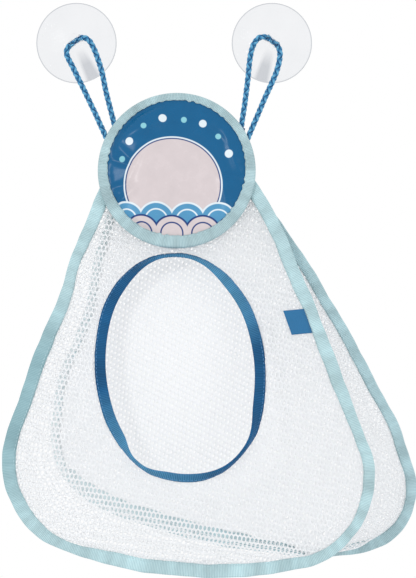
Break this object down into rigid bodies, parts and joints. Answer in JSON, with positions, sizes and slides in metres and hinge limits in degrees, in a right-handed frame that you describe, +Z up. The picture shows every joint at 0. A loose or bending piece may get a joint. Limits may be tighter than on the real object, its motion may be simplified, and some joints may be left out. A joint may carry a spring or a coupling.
{
  "type": "bath toy organizer",
  "caption": "Wall-hung mesh bag for bath toys: a tape-edged net bag with an oval hand opening, hung by a round cloth head and cord loops from clear suction cups.",
  "frame": {"origin": "on the wall plane, midway between the centres of the two suction cups", "axes": "+X to the right seen from the front, +Y into the wall, +Z up"},
  "size_m": [0.3494, 0.0672, 0.4835],
  "materials": {
    "clear_plastic": "clear soft vinyl, glossy",
    "cord": "blue round braided cord",
    "tack_thread": "blue sewing thread, dense bar tack",
    "head_cloth": "printed coated cloth, slight sheen, creased",
    "head_lining": "plain white woven lining",
    "light_tape": "light blue ribbed grosgrain tape, matte",
    "dark_tape": "dark blue ribbed grosgrain tape, matte",
    "net": "white knitted hexagonal net",
    "label": "plain blue woven satin tab"
  },
  "bodies": {
    "wall_cups": {"suction_cup_left": "clear_plastic", "suction_cup_right": "clear_plastic"},
    "bag_front": {"cord_loop_left": "cord", "cord_loop_right": "cord", "cord_tack_left_a": "tack_thread", "cord_tack_left_b": "tack_thread", "cord_tack_right_a": "tack_thread", "cord_tack_right_b": "tack_thread", "head_front": "head_cloth", "head_back": "head_lining", "head_binding": "light_tape", "front_panel": "net", "front_binding": "light_tape", "opening_binding": "dark_tape"},
    "bag_back": {"back_panel": "net", "back_binding": "light_tape", "gusset": "net"},
    "label": {"side_label": "label"}
  },
  "joints": [
    {"name": "bag_swing", "type": "hinge", "parent": "wall_cups", "child": "bag_front", "pos_m": [0, -0.015, 0], "axis": [-1, 0, 0], "range_deg": [0, 60], "deforming": ["cord_loop_left", "cord_loop_right"]},
    {"name": "bag_collapse", "type": "hinge", "parent": "bag_front", "child": "bag_back", "pos_m": [0, -0.01821, -0.11321], "axis": [-1, 0, 0], "range_deg": [0, 9], "deforming": ["gusset"]},
    {"name": "label_flip", "type": "hinge", "parent": "bag_front", "child": "label", "pos_m": [0.11148, -0.03942, -0.236], "axis": [-0.4008, 0.1196, 0.9083], "range_deg": [0, 120]}
  ]
}
